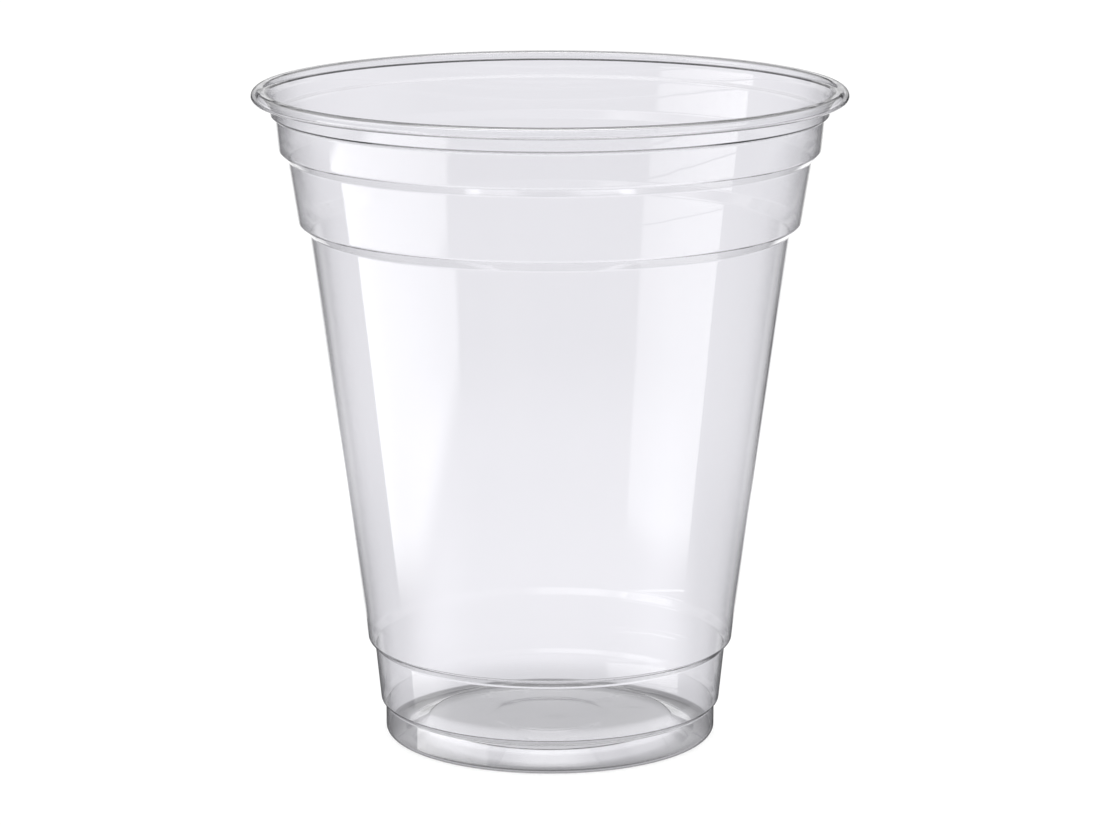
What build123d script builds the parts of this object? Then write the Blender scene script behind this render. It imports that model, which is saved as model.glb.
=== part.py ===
from build123d import *
import os
from math import radians, tan

# A clear, thin-walled drinking cup, formed in one piece from a single sheet of plastic.
# Millimetres, +Z up. The origin is the centre of the ring that the cup stands on.

# The sheet
WALL = 0.3

# Rim, rolled outwards and under: its diameter is the size of the lid that presses over it
RIM_DIAMETER = 98.0
RIM_WIDTH = 2.9
RIM_HEIGHT = 1.95
RIM_FLARE = 0.6
ROLL_DEPTH = 1.15
ROLL_TUCK = 0.85

# Neck under the rim, where the lid's bead takes hold
NECK_HEIGHT = 2.1
NECK_DRAFT = 4.4
NECK_STEP = 0.84
NECK_STEP_RISE = 0.5

# Two bands that step in towards the body, for grip and stiffness
UPPER_BAND_HEIGHT = 5.4
UPPER_BAND_DRAFT = 5.3
UPPER_STEP = 1.5
UPPER_STEP_RISE = 1.5
LOWER_BAND_HEIGHT = 10.5
LOWER_BAND_DRAFT = 8.7
LOWER_STEP = 1.8
LOWER_STEP_RISE = 1.75

# Long conical body
BODY_HEIGHT = 69.0
BODY_DRAFT = 7.5

# Shoulder and the drawn-in wall below it, which keep stacked cups from jamming
SHOULDER_STEP = 1.15
SHOULDER_RISE = 1.25
RECESS_HEIGHT = 9.35
RECESS_DRAFT = 5.8

# Base band and the small ledge on top of it
LEDGE_STEP = 0.8
LEDGE_RISE = 0.85
BASE_BAND_HEIGHT = 5.0

# Floor: a foot ring to stand on, and a panel pushed up clear of the table
FOOT_RING_WIDTH = 3.4
PANEL_SLOPE_WIDTH = 4.0
PANEL_RISE = 1.85
CENTRE_DIAMETER = 17.6
CENTRE_SLOPE_WIDTH = 1.6
CENTRE_RISE = 0.1

# Bend radii on the outer face of the sheet
FLOOR_BEND = 0.9
FOOT_BEND = 1.0
LEDGE_BEND = 0.4
STEP_INNER_BEND = 0.45
STEP_OUTER_BEND = 0.8
NECK_BEND = 0.4
RIM_BEND = 1.0
CROWN_BEND = 0.7
ROLL_BEND = 0.9
TUCK_BEND = 0.3

# Share of a straight run that the bends at its two ends may take up together
BEND_SHARE = 0.96


def narrowed(radius, height, draft):
    """Radius at the lower end of a wall that tapers inwards by its draft angle."""
    return radius - height * tan(radians(draft))


def sheet_line(corners):
    """Outer face of the sheet in section, from (radius, height, bend) corners, with rounded bends."""
    points = [Vector(radius, height) for radius, height, bend in corners]
    runs = [end - start for start, end in zip(points, points[1:])]
    half_turns = [radians(before.get_angle(after)) / 2 for before, after in zip(runs, runs[1:])]
    bends = [bend for radius, height, bend in corners[1:-1]]
    trims = [0] + [bend * tan(half_turn) for bend, half_turn in zip(bends, half_turns)] + [0]
    room = []
    for i, run in enumerate(runs):
        taken = trims[i] + trims[i + 1]
        room.append(min(1, BEND_SHARE * run.length / taken))
    radii = [bend * min(room[i], room[i + 1]) for i, bend in enumerate(bends)]
    return FilletPolyline(*points, radius=radii)


# Heights of the outer face, from the table up
ledge_bottom = BASE_BAND_HEIGHT
recess_bottom = ledge_bottom + LEDGE_RISE
recess_top = recess_bottom + RECESS_HEIGHT
body_bottom = recess_top + SHOULDER_RISE
body_top = body_bottom + BODY_HEIGHT
lower_band_bottom = body_top + LOWER_STEP_RISE
lower_band_top = lower_band_bottom + LOWER_BAND_HEIGHT
upper_band_bottom = lower_band_top + UPPER_STEP_RISE
upper_band_top = upper_band_bottom + UPPER_BAND_HEIGHT
neck_bottom = upper_band_top + NECK_STEP_RISE
neck_top = neck_bottom + NECK_HEIGHT
rim_top = neck_top + RIM_HEIGHT
roll_top = rim_top - WALL
roll_bottom = roll_top - ROLL_DEPTH

# Radii of the outer face, from the rim down
rim_r = RIM_DIAMETER / 2
roll_r = rim_r - WALL
neck_top_r = rim_r - RIM_WIDTH
neck_bottom_r = narrowed(neck_top_r, NECK_HEIGHT, NECK_DRAFT)
upper_band_top_r = neck_bottom_r - NECK_STEP
upper_band_bottom_r = narrowed(upper_band_top_r, UPPER_BAND_HEIGHT, UPPER_BAND_DRAFT)
lower_band_top_r = upper_band_bottom_r - UPPER_STEP
lower_band_bottom_r = narrowed(lower_band_top_r, LOWER_BAND_HEIGHT, LOWER_BAND_DRAFT)
body_top_r = lower_band_bottom_r - LOWER_STEP
body_bottom_r = narrowed(body_top_r, BODY_HEIGHT, BODY_DRAFT)
recess_top_r = body_bottom_r - SHOULDER_STEP
recess_bottom_r = narrowed(recess_top_r, RECESS_HEIGHT, RECESS_DRAFT)
base_r = recess_bottom_r - LEDGE_STEP
foot_inner_r = base_r - FOOT_RING_WIDTH
panel_r = foot_inner_r - PANEL_SLOPE_WIDTH
centre_r = CENTRE_DIAMETER / 2

# The outer face from the middle of the floor to the tucked end of the rim
corners = [
    (0, PANEL_RISE + CENTRE_RISE, 0),
    (centre_r, PANEL_RISE + CENTRE_RISE, FLOOR_BEND),
    (centre_r + CENTRE_SLOPE_WIDTH, PANEL_RISE, FLOOR_BEND),
    (panel_r, PANEL_RISE, FLOOR_BEND),
    (foot_inner_r, 0, FLOOR_BEND),
    (base_r, 0, FOOT_BEND),
    (base_r, ledge_bottom, LEDGE_BEND),
    (recess_bottom_r, recess_bottom, LEDGE_BEND),
    (recess_top_r, recess_top, STEP_INNER_BEND),
    (body_bottom_r, body_bottom, STEP_OUTER_BEND),
    (body_top_r, body_top, STEP_INNER_BEND),
    (lower_band_bottom_r, lower_band_bottom, STEP_OUTER_BEND),
    (lower_band_top_r, lower_band_top, STEP_INNER_BEND),
    (upper_band_bottom_r, upper_band_bottom, STEP_OUTER_BEND),
    (upper_band_top_r, upper_band_top, NECK_BEND),
    (neck_bottom_r, neck_bottom, NECK_BEND),
    (neck_top_r, neck_top, RIM_BEND),
    (neck_top_r + RIM_FLARE, roll_top, CROWN_BEND),
    (roll_r, roll_top, ROLL_BEND),
    (roll_r, roll_bottom, TUCK_BEND),
    (roll_r - ROLL_TUCK, roll_bottom, 0),
]

# The sheet's inner face lies one wall inside the outer one, all the way round the roll
section = make_face(offset(sheet_line(corners), WALL, side=Side.LEFT, closed=True).edges())
cup = revolve(Plane.XZ * section, Axis.Z)

os.makedirs("parts", exist_ok=True)
export_step(cup, "parts/cup.step")
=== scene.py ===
import bpy
from math import atan2, ceil, cos, hypot, pi, radians, sin, tan
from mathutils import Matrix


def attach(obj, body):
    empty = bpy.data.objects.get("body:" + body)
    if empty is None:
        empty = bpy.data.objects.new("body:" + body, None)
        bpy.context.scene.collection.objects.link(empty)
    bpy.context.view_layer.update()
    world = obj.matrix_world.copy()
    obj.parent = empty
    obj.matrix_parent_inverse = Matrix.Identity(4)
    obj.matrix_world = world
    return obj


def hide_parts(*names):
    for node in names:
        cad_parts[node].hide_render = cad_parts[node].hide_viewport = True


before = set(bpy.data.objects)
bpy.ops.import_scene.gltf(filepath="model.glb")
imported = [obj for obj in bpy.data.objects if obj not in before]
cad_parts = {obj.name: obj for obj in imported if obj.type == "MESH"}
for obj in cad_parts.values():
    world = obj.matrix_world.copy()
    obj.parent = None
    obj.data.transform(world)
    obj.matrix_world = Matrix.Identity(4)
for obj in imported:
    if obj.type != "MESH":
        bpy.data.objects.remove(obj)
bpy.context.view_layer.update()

# Cup: one sheet of clear PET, heated and drawn into a mould in one stroke, trimmed and rolled at the rim.
# The sheet keeps an even, thin wall through the floor, the steps and the roll: the whole cup is one skin.
mm = 0.001
wall = 0.3 * mm

# Foot ring that the cup stands on, and the panel pushed up clear of the table inside it
base_radius = 27.707 * mm
foot_ring_width = 3.4 * mm
panel_slope_width = 4.0 * mm
panel_rise = 1.85 * mm
centre_radius = 8.8 * mm
centre_slope_width = 1.6 * mm
centre_rise = 0.1 * mm
panel_width = base_radius - foot_ring_width - panel_slope_width - centre_slope_width - centre_radius

# Walls and steps from the base band up to the neck; each draft is in degrees
base_band_height = 5.0 * mm
ledge_step = 0.8 * mm
ledge_rise = 0.85 * mm
recess_height = 9.35 * mm
recess_draft = 5.8
shoulder_step = 1.15 * mm
shoulder_rise = 1.25 * mm
body_height = 69.0 * mm
body_draft = 7.5
lower_step = 1.8 * mm
lower_step_rise = 1.75 * mm
lower_band_height = 10.5 * mm
lower_band_draft = 8.7
upper_step = 1.5 * mm
upper_step_rise = 1.5 * mm
upper_band_height = 5.4 * mm
upper_band_draft = 5.3
neck_step = 0.84 * mm
neck_step_rise = 0.5 * mm
neck_height = 2.1 * mm
neck_draft = 4.4

# Rim, rolled outwards and under
rim_width = 2.9 * mm
rim_flare = 0.6 * mm
rim_height = 1.95 * mm
roll_depth = 1.15 * mm
roll_tuck = 0.85 * mm
crown_width = rim_width - wall - rim_flare

# Bend radii on the outer face; the raised centre blends so softly into the panel that no ring shows
centre_bend = 20 * mm
floor_bend = 0.9 * mm
foot_bend = 1.0 * mm
ledge_bend = 0.4 * mm
step_inner_bend = 0.45 * mm
step_outer_bend = 0.8 * mm
neck_bend = 0.4 * mm
rim_bend = 1.0 * mm
crown_bend = 0.7 * mm
roll_bend = 0.9 * mm
tuck_bend = 0.3 * mm


def tapered(height, draft):
    """Outward step and rise of a wall of this height that leans out by its draft angle."""
    return height * tan(radians(draft)), height


# Straight runs of the sheet's outer face from the middle of the floor to the tucked end of the rim:
# outward step, rise, and the radius of the bend at the end of the run
cup_runs = [
    (centre_radius, 0, centre_bend),
    (centre_slope_width, -centre_rise, centre_bend),
    (panel_width, 0, floor_bend),
    (panel_slope_width, -panel_rise, floor_bend),
    (foot_ring_width, 0, foot_bend),
    (0, base_band_height, ledge_bend),
    (ledge_step, ledge_rise, ledge_bend),
    (*tapered(recess_height, recess_draft), step_inner_bend),
    (shoulder_step, shoulder_rise, step_outer_bend),
    (*tapered(body_height, body_draft), step_inner_bend),
    (lower_step, lower_step_rise, step_outer_bend),
    (*tapered(lower_band_height, lower_band_draft), step_inner_bend),
    (upper_step, upper_step_rise, step_outer_bend),
    (*tapered(upper_band_height, upper_band_draft), neck_bend),
    (neck_step, neck_step_rise, neck_bend),
    (*tapered(neck_height, neck_draft), rim_bend),
    (rim_flare, rim_height - wall, crown_bend),
    (crown_width, 0, roll_bend),
    (0, -roll_depth, tuck_bend),
    (-roll_tuck, 0, 0),
]

# Fineness of the mesh, and the share of a run that the bends at its two ends may take up together
cup_segments = 240
bend_step = radians(10)
edge_support = 0.06 * mm
supported_length = 3 * edge_support
bend_share = 0.96
sharp_angle = radians(40)
on_axis = 1e-9


def sheet_points(start, runs):
    """Points along the sheet's outer face as (radius, height, direction), with every bend rounded."""
    headings = [atan2(up, out) for out, up, bend in runs]
    lengths = [hypot(out, up) for out, up, bend in runs]
    turns = [(after - before + pi) % (2 * pi) - pi for before, after in zip(headings, headings[1:])]
    trims = [0] + [run[2] * tan(abs(turn) / 2) for run, turn in zip(runs, turns)] + [0]
    room = [min(1, bend_share * lengths[i] / (trims[i] + trims[i + 1])) for i in range(len(runs))]
    points = []
    begin = start
    corner = start
    for i, (out, up, bend) in enumerate(runs):
        heading = headings[i]
        corner = (corner[0] + out, corner[1] + up)
        turn = 0.0
        trim = 0.0
        if i + 1 < len(runs):
            turn = turns[i]
            trim = trims[i + 1] * min(room[i], room[i + 1])
        stop = (corner[0] - trim * cos(heading), corner[1] - trim * sin(heading))
        length = hypot(stop[0] - begin[0], stop[1] - begin[1])
        stations = [0.0, 1.0]
        if length > supported_length:
            stations = [0.0, edge_support / length, 1 - edge_support / length, 1.0]
        for share in stations:
            r = begin[0] + share * (stop[0] - begin[0])
            z = begin[1] + share * (stop[1] - begin[1])
            points.append((r, z, heading))
        if trim:
            radius = trim / tan(abs(turn) / 2)
            side = 1 if turn > 0 else -1
            centre = (stop[0] - side * radius * sin(heading), stop[1] + side * radius * cos(heading))
            count = ceil(abs(turn) / bend_step)
            for k in range(1, count + 1):
                angle = heading + turn * k / count
                begin = (centre[0] + side * radius * sin(angle), centre[1] - side * radius * cos(angle))
                if k < count:
                    points.append((*begin, angle))
    return points


# The closed section: out along the outer face, and back along the inner one, a wall inside it
outer_face = sheet_points((0.0, panel_rise + centre_rise), cup_runs)
inner_face = [(r - wall * sin(a), z + wall * cos(a)) for r, z, a in outer_face]
cup_loop = [(r, z) for r, z, a in outer_face] + inner_face[::-1]

cup_verts = []
ring_starts = []
for r, z in cup_loop:
    ring_starts.append(len(cup_verts))
    if r < on_axis:
        cup_verts.append((0.0, 0.0, z))
        continue
    for k in range(cup_segments):
        angle = 2 * pi * k / cup_segments
        cup_verts.append((r * cos(angle), r * sin(angle), z))

cup_faces = []
for i in range(len(cup_loop) - 1):
    a, b = ring_starts[i], ring_starts[i + 1]
    a_pole, b_pole = cup_loop[i][0] < on_axis, cup_loop[i + 1][0] < on_axis
    for k in range(cup_segments):
        n = (k + 1) % cup_segments
        if a_pole:
            cup_faces.append((a, b + n, b + k))
        elif b_pole:
            cup_faces.append((a + k, a + n, b))
        else:
            cup_faces.append((a + k, a + n, b + n, b + k))

cup_mesh = bpy.data.meshes.new("cup_skin")
cup_mesh.from_pydata(cup_verts, [], cup_faces)
cup_mesh.shade_smooth()
cup_mesh.set_sharp_from_angle(angle=sharp_angle)
cup = bpy.data.objects.new("cup_skin", cup_mesh)
bpy.context.scene.collection.objects.link(cup)

plastic_ior = 1.575
thick_tone = (0.970, 0.972, 0.976, 1)
thin_tone = (0.986, 0.986, 0.987, 1)
wave_width = 9 * mm
wave_length = 70 * mm
wave_height = 0.06 * mm

plastic = bpy.data.materials.new("clear_plastic")
plastic.use_nodes = True
nodes = plastic.node_tree.nodes
links = plastic.node_tree.links
shader = nodes["Principled BSDF"]
shader.inputs["Roughness"].default_value = 0.0
shader.inputs["IOR"].default_value = plastic_ior
shader.inputs["Transmission Weight"].default_value = 1.0

# Drawing leaves faint upright waves in the sheet, and a deeper tone where it stayed a little thicker
sheet_place = nodes.new("ShaderNodeTexCoord")
drawn_out = nodes.new("ShaderNodeMapping")
drawn_out.inputs["Scale"].default_value = (1 / wave_width, 1 / wave_width, 1 / wave_length)
links.new(sheet_place.outputs["Object"], drawn_out.inputs["Vector"])
waves = nodes.new("ShaderNodeTexNoise")
waves.inputs["Scale"].default_value = 1.0
waves.inputs["Detail"].default_value = 1.0
links.new(drawn_out.outputs["Vector"], waves.inputs["Vector"])
ripple = nodes.new("ShaderNodeBump")
ripple.inputs["Strength"].default_value = 1.0
ripple.inputs["Distance"].default_value = wave_height
links.new(waves.outputs["Fac"], ripple.inputs["Height"])
links.new(ripple.outputs["Normal"], shader.inputs["Normal"])
tone = nodes.new("ShaderNodeMixRGB")
tone.inputs["Color1"].default_value = thick_tone
tone.inputs["Color2"].default_value = thin_tone
links.new(waves.outputs["Fac"], tone.inputs["Fac"])
links.new(tone.outputs["Color"], shader.inputs["Base Color"])
cup_mesh.materials.append(plastic)

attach(cup, "root")
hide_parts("cup")

# Floor: a plain white table top that runs out past the view and keeps the cup's shadow.
# Under the cup painted shade makes it a little darker, and a painted shadow makes it darkest along the foot
# ring, where hardly any light gets in.
# Mirrored in the plastic it glows with painted light by its distance from the cup, and lets the panels below
# it show through.
floor_size = 6.0
floor_lift = 0.06
# Painted shadow along the foot ring: the floor's colour, and its lift with it, fall to this level there
painted_shadow_start = 26 * mm
painted_shadow_end = 27.7 * mm
painted_shadow_level = 0.3

# Seen through the plastic: painted shade, as levels by distance from the cup's axis
through_level = 0.9
cup_tint = (0.994, 0.986, 1.034, 1)
shade_reach = 60 * mm
shade_under_cup = [
    (0, 0.68),
    (20.5 * mm, 0.68),
    (24.0 * mm, 0.36),
    (26.0 * mm, 0.2),
    (28.2 * mm, 0.24),
    (29.6 * mm, 0.72),
    (45.0 * mm, through_level),
]

# Mirrored in the plastic: painted light levels on the table by distance in front of the cup and behind it,
# in metres, fading where the table is seen at a slant; and one level for light that is guided along inside
# the sheet
table_reach = 0.36
lit_in_front = [
    (0, 0.1),
    (0.0285, 0.1),
    (0.031, 0.9),
    (0.0375, 0.8),
    (0.0395, 2.2),
    (0.0415, 2.2),
    (0.0435, 0.3),
    (0.05, 0.3),
    (0.06, 1.15),
    (0.072, 1.5),
    (0.095, 1.65),
    (0.14, 1.5),
    (0.195, 1.05),
    (0.33, 0.72),
]
lit_behind = [
    (0, 0.05),
    (0.09, 0.1),
    (0.18, 0.42),
    (0.33, 0.3),
]
front_start = -0.65
front_end = -0.05
grazing_start = 0.72
grazing_end = 0.9
guided_level = 0.42

bpy.ops.mesh.primitive_plane_add(size=floor_size)
floor = bpy.context.object
floor.name = "floor"

white_floor = bpy.data.materials.new("white_floor")
white_floor.use_nodes = True
nodes = white_floor.node_tree.nodes
links = white_floor.node_tree.links
nodes.clear()


def math_node(nodes, links, operation, *values):
    """A math node whose inputs are numbers or other nodes' outputs; gives its output."""
    node = nodes.new("ShaderNodeMath")
    node.operation = operation
    for i, value in enumerate(values):
        if isinstance(value, (int, float)):
            node.inputs[i].default_value = value
        else:
            links.new(value, node.inputs[i])
    return node.outputs[0]


def ramp(nodes, links, value, start, end, start_level, end_level):
    """Smooth change from one level to another as a value goes from start to end, and level outside."""
    node = nodes.new("ShaderNodeMapRange")
    node.interpolation_type = "SMOOTHSTEP"
    node.inputs["From Min"].default_value = start
    node.inputs["From Max"].default_value = end
    node.inputs["To Min"].default_value = start_level
    node.inputs["To Max"].default_value = end_level
    links.new(value, node.inputs["Value"])
    return node.outputs["Result"]


def at_least(nodes, links, count, depth):
    """1 where a light path's depth has reached a whole count; otherwise 0."""
    return math_node(nodes, links, "GREATER_THAN", depth, count - 0.5)


def unless_matt(nodes, links, path, test):
    """1 where the test is 1 and the view has come off nothing matt; otherwise 0."""
    matt = at_least(nodes, links, 1, path.outputs["Diffuse Depth"])
    return math_node(nodes, links, "GREATER_THAN", test, matt)


def through_cup(nodes, links):
    """1 where the view has come through or off the plastic, and off nothing matt; otherwise 0."""
    path = nodes.new("ShaderNodeLightPath")
    bends = math_node(nodes, links, "ADD", path.outputs["Glossy Depth"], path.outputs["Transmission Depth"])
    return unless_matt(nodes, links, path, at_least(nodes, links, 1, bends))


def mirrored(nodes, links):
    """1 where the view has been mirrored by the plastic, and is off nothing matt; otherwise 0."""
    path = nodes.new("ShaderNodeLightPath")
    once = at_least(nodes, links, 1, path.outputs["Glossy Depth"])
    return unless_matt(nodes, links, path, once)


def guided(nodes, links):
    """1 where the view has gone into the sheet and been mirrored more than once; otherwise 0."""
    path = nodes.new("ShaderNodeLightPath")
    often = at_least(nodes, links, 2, path.outputs["Glossy Depth"])
    inside = at_least(nodes, links, 1, path.outputs["Transmission Depth"])
    return unless_matt(nodes, links, path, math_node(nodes, links, "MULTIPLY", often, inside))


def mixed(nodes, links, share, first, second):
    """Mix of two shaders; the share is 0 for the first and 1 for the second."""
    mix = nodes.new("ShaderNodeMixShader")
    links.new(share, mix.inputs["Fac"])
    links.new(first.outputs[0], mix.inputs[1])
    links.new(second.outputs[0], mix.inputs[2])
    return mix


def added(nodes, links, first, second):
    """Sum of two shaders."""
    total = nodes.new("ShaderNodeAddShader")
    links.new(first.outputs[0], total.inputs[0])
    links.new(second.outputs[0], total.inputs[1])
    return total


def levels_by_radius(nodes, links, radius, reach, levels):
    """Smooth levels around the cup's axis, from (radius, level) pairs within a reach; gives its output."""
    profile = nodes.new("ShaderNodeValToRGB")
    profile.color_ramp.interpolation = "EASE"
    stops = profile.color_ramp.elements
    while len(stops) < len(levels):
        stops.new(1.0)
    for stop, (distance, level) in zip(stops, levels):
        stop.position = distance / reach
        stop.color = (level, level, level, 1)
    links.new(math_node(nodes, links, "DIVIDE", radius, reach), profile.inputs["Fac"])
    return profile.outputs["Color"]


place = nodes.new("ShaderNodeTexCoord")
from_axis = nodes.new("ShaderNodeVectorMath")
from_axis.operation = "LENGTH"
links.new(place.outputs["Object"], from_axis.inputs[0])
floor_radius = from_axis.outputs["Value"]

# Seen plainly: matt white, a little lifted for the camera, and darkened under the foot ring by a painted
# shadow
painted_contact_shadow = ramp(nodes, links, floor_radius, painted_shadow_start, painted_shadow_end, painted_shadow_level, 1)
path = nodes.new("ShaderNodeLightPath")
matte = nodes.new("ShaderNodeBsdfDiffuse")
links.new(painted_contact_shadow, matte.inputs["Color"])
lift = nodes.new("ShaderNodeEmission")
lifted = math_node(nodes, links, "MULTIPLY", path.outputs["Is Camera Ray"], floor_lift)
links.new(math_node(nodes, links, "MULTIPLY", lifted, painted_contact_shadow), lift.inputs["Strength"])
plain_floor = added(nodes, links, matte, lift)

# Seen through the plastic: a glow that carries the painted shade under the cup
floor_through_cup = nodes.new("ShaderNodeEmission")
floor_through_cup.inputs["Color"].default_value = cup_tint
shade = levels_by_radius(nodes, links, floor_radius, shade_reach, shade_under_cup)
links.new(shade, floor_through_cup.inputs["Strength"])

# Mirrored in the plastic: the table top glows with painted light
sides = nodes.new("ShaderNodeSeparateXYZ")
links.new(place.outputs["Object"], sides.inputs[0])
backwards = math_node(nodes, links, "DIVIDE", sides.outputs["Y"], floor_radius)
behind = ramp(nodes, links, backwards, front_start, front_end, 0, 1)
slant = nodes.new("ShaderNodeLayerWeight")
seen_flat = ramp(nodes, links, slant.outputs["Facing"], grazing_start, grazing_end, 1, 0)
table_lit = nodes.new("ShaderNodeMixRGB")
links.new(behind, table_lit.inputs["Fac"])
in_front_level = levels_by_radius(nodes, links, floor_radius, table_reach, lit_in_front)
behind_level = levels_by_radius(nodes, links, floor_radius, table_reach, lit_behind)
links.new(in_front_level, table_lit.inputs["Color1"])
links.new(behind_level, table_lit.inputs["Color2"])
table_top = nodes.new("ShaderNodeEmission")
table_top.inputs["Color"].default_value = cup_tint
table_level = math_node(nodes, links, "MULTIPLY", table_lit.outputs["Color"], seen_flat)
links.new(table_level, table_top.inputs["Strength"])
beyond = nodes.new("ShaderNodeBsdfTransparent")
mirrored_floor = added(nodes, links, table_top, beyond)

# Seen by light that is guided along inside the sheet
guided_floor = nodes.new("ShaderNodeEmission")
guided_floor.inputs["Color"].default_value = cup_tint
guided_floor.inputs["Strength"].default_value = guided_level

floor_in_cup = mixed(nodes, links, mirrored(nodes, links), floor_through_cup, mirrored_floor)
floor_in_sheet = mixed(nodes, links, guided(nodes, links), floor_in_cup, guided_floor)
whole_floor = mixed(nodes, links, through_cup(nodes, links), plain_floor, floor_in_sheet)
surface = nodes.new("ShaderNodeOutputMaterial")
links.new(whole_floor.outputs[0], surface.inputs["Surface"])
floor.data.materials.append(white_floor)

# Soft boxes: panels of white cloth around the cup, lit from behind, and a white sheet low at the back.
# They show only as reflections; each may glow more at one end than at the other.
near = 0.4
far = 1.2
distant = 3.0
box_height = 60 * mm
box_columns = 24
box_rows = 8


def soft_box(name, distance, azimuths, lows, top, levels, softness, lean=0, sag=0):
    """A glowing panel that is part of a ball around the cup; every angle is in degrees.

    Azimuths run to the right from straight behind the cup, along the panel's lower edge. At the first
    end the upper edge leans on by the lean, and in the middle the lower edge hangs down by the sag.
    The level goes from the first end's to the last end's, and falls to nothing over the softness:
    shares of the panel at its first end, its last end, its lower edge and its upper edge.
    """
    verts, across, upward = [], [], []
    for j in range(box_rows + 1):
        for i in range(box_columns + 1):
            along = i / box_columns
            high = j / box_rows
            azimuth = radians(azimuths[0] + along * (azimuths[1] - azimuths[0]) + high * lean * (1 - along))
            low = lows[0] + along * (lows[1] - lows[0]) - sag * sin(pi * along)
            elevation = radians(low + high * (top - low))
            reach = distance * cos(elevation)
            verts.append((
                reach * sin(azimuth),
                reach * cos(azimuth),
                box_height + distance * sin(elevation),
            ))
            across.append(along)
            upward.append(high)
    faces = []
    for j in range(box_rows):
        for i in range(box_columns):
            k = j * (box_columns + 1) + i
            faces.append((k, k + 1, k + box_columns + 2, k + box_columns + 1))
    mesh = bpy.data.meshes.new(name)
    mesh.from_pydata(verts, [], faces)
    for title, values in (("across", across), ("upward", upward)):
        mesh.attributes.new(title, "FLOAT", "POINT").data.foreach_set("value", values)
    panel = bpy.data.objects.new(name, mesh)
    bpy.context.scene.collection.objects.link(panel)

    cloth = bpy.data.materials.new(name)
    cloth.use_nodes = True
    nodes = cloth.node_tree.nodes
    links = cloth.node_tree.links
    nodes.clear()
    shares = []
    for title in ("across", "upward"):
        reader = nodes.new("ShaderNodeAttribute")
        reader.attribute_name = title
        shares.append(reader.outputs["Fac"])
    first_end, last_end, low_edge, high_edge = softness
    level = math_node(nodes, links, "MULTIPLY_ADD", shares[0], levels[1] - levels[0], levels[0])
    for share, start, end in (
        (shares[0], 0, first_end),
        (shares[0], 1, 1 - last_end),
        (shares[1], 0, low_edge),
        (shares[1], 1, 1 - high_edge),
    ):
        if start != end:
            level = math_node(nodes, links, "MULTIPLY", level, ramp(nodes, links, share, start, end, 0, 1))
    glow = nodes.new("ShaderNodeEmission")
    links.new(level, glow.inputs["Strength"])
    unlit = nodes.new("ShaderNodeBsdfTransparent")
    lit = added(nodes, links, glow, unlit)
    hidden = nodes.new("ShaderNodeBsdfTransparent")
    once = mixed(nodes, links, mirrored(nodes, links), hidden, lit)
    shown = mixed(nodes, links, guided(nodes, links), once, hidden)
    out = nodes.new("ShaderNodeOutputMaterial")
    links.new(shown.outputs[0], out.inputs["Surface"])
    mesh.materials.append(cloth)
    panel.visible_camera = False
    panel.visible_diffuse = False
    panel.visible_shadow = False


# The main light at the left, which shows below the table line, and the paler window above it
soft_box(
    "left_soft_box",
    distant,
    azimuths=(-133.5, -73.1),
    lows=(-25.5, -24.3),
    top=-13.6,
    levels=(1.0, 1.75),
    softness=(0.06, 0.02, 0.14, 0.05),
    lean=-7.4,
    sag=1.7,
)
soft_box(
    "left_window",
    far,
    azimuths=(-133, -82.5),
    lows=(-1.9, -6.6),
    top=10.5,
    levels=(0.9, 1.6),
    softness=(0.06, 0.02, 0.1, 0.05),
)

# Behind the cup: the sheet under it, the wall in two parts, and a card that lights the rim
soft_box(
    "back_sheet",
    near,
    azimuths=(-26, 26),
    lows=(-22, -22),
    top=0,
    levels=(0.9, 0.9),
    softness=(0.15, 0.15, 0, 0.1),
)
soft_box(
    "back_wall_low",
    near,
    azimuths=(-75, 75),
    lows=(4, 4),
    top=15.6,
    levels=(0.4, 0.4),
    softness=(0.2, 0.2, 0.2, 0.1),
)
soft_box(
    "back_wall",
    near,
    azimuths=(-75, 75),
    lows=(18.6, 18.6),
    top=48,
    levels=(0.36, 0.36),
    softness=(0.2, 0.2, 0.1, 0.2),
)
soft_box(
    "rim_card",
    near,
    azimuths=(-26, 26),
    lows=(12, 12),
    top=15.6,
    levels=(0.35, 0.35),
    softness=(0.15, 0.15, 0.2, 0.2),
)

# Over the cup, for the glints along the rim and the steps
soft_box(
    "top_soft_box",
    near,
    azimuths=(-40, 40),
    lows=(46, 46),
    top=74,
    levels=(1.6, 1.6),
    softness=(0.4, 0.4, 0.3, 0.3),
)
soft_box(
    "top_front_soft_box",
    near,
    azimuths=(140, 300),
    lows=(58, 58),
    top=82,
    levels=(0.4, 1.2),
    softness=(0.2, 0.2, 0.3, 0.3),
)
soft_box(
    "upper_left_soft_box",
    near,
    azimuths=(-112, -50),
    lows=(34, 34),
    top=64,
    levels=(1.4, 1.4),
    softness=(0.3, 0.3, 0.3, 0.3),
)

# Studio: an even white surround that lights the floor and shows through the plastic, dimmer high up.
# Reflections see the unlit room instead, darkest on the camera's side, which gives the clear wall its greys.
open_white = (1, 1, 1, 1)
open_level = 1.0
white_up_to = 0.25
dim_from = 0.6
high_level = 0.45
camera_side_level = 0.03
camera_side_end = -0.75
side_level = 0.4
side_start = 0.1
side_end = 0.6
far_side_level = 0.03
far_side_start = 0.88

world = bpy.data.worlds.new("studio")
bpy.context.scene.world = world
world.use_nodes = True
nodes = world.node_tree.nodes
links = world.node_tree.links
background = nodes["Background"]
direction = nodes.new("ShaderNodeTexCoord")
parts = nodes.new("ShaderNodeSeparateXYZ")
links.new(direction.outputs["Generated"], parts.inputs[0])
depth = parts.outputs["Y"]
height = parts.outputs["Z"]


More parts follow.
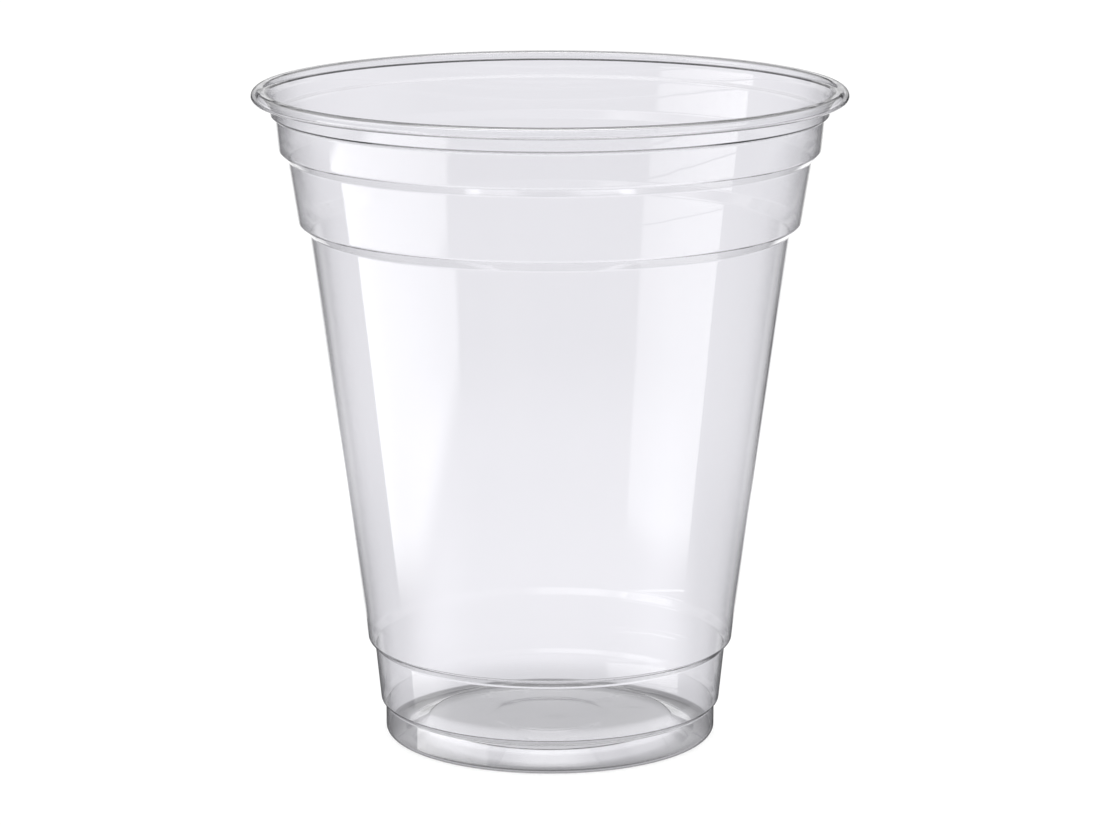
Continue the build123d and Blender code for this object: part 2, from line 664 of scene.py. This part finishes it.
def choose(nodes, links, test, otherwise, chosen):
    """Chosen where the test is 1, otherwise the other level."""
    pick = nodes.new("ShaderNodeMix")
    links.new(test, pick.inputs["Factor"])
    for socket, value in (("A", otherwise), ("B", chosen)):
        if isinstance(value, (int, float)):
            pick.inputs[socket].default_value = value
        else:
            links.new(value, pick.inputs[socket])
    return pick.outputs["Result"]


near_side = ramp(nodes, links, depth, camera_side_end, side_start, camera_side_level, side_level)
far_side = ramp(nodes, links, depth, side_end, far_side_start, 0, far_side_level - side_level)
room = math_node(nodes, links, "ADD", near_side, far_side)
through = ramp(nodes, links, height, white_up_to, dim_from, through_level, high_level)
in_cup = choose(nodes, links, through_cup(nodes, links), open_level, through)
off_cup = choose(nodes, links, mirrored(nodes, links), in_cup, room)
in_sheet = choose(nodes, links, guided(nodes, links), off_cup, guided_level)
links.new(in_sheet, background.inputs["Strength"])
tint = nodes.new("ShaderNodeMixRGB")
links.new(through_cup(nodes, links), tint.inputs["Fac"])
tint.inputs["Color1"].default_value = open_white
tint.inputs["Color2"].default_value = cup_tint
links.new(tint.outputs["Color"], background.inputs["Color"])

# Camera: a long lens on a stand in front of the cup, level from side to side, that looks a little down.
# Its height, pitch and focal length follow from the ellipses of the rim, the steps and the base.
view_distance = 0.674
view_pitch = radians(12.23)
view_height = 54.465 * mm
focal_pixels = 4038.9
picture_width = 1100
film_width = 36

camera = bpy.data.cameras.new("camera")
camera.sensor_width = film_width
camera.lens = focal_pixels / picture_width * film_width
camera_object = bpy.data.objects.new("camera", camera)
camera_object.location = (
    0,
    -view_distance * cos(view_pitch),
    view_height + view_distance * sin(view_pitch),
)
camera_object.rotation_euler = (pi / 2 - view_pitch, 0, 0)
bpy.context.scene.collection.objects.link(camera_object)
bpy.context.scene.camera = camera_object
bpy.context.scene.view_settings.view_transform = "Standard"

# Light may pass and bounce between the thin walls many times, and thin glints stay sharp
wall_passes = 32
wall_glints = 16
bpy.context.scene.cycles.max_bounces = wall_passes
bpy.context.scene.cycles.transmission_bounces = wall_passes
bpy.context.scene.cycles.glossy_bounces = wall_glints
bpy.context.scene.cycles.blur_glossy = 0
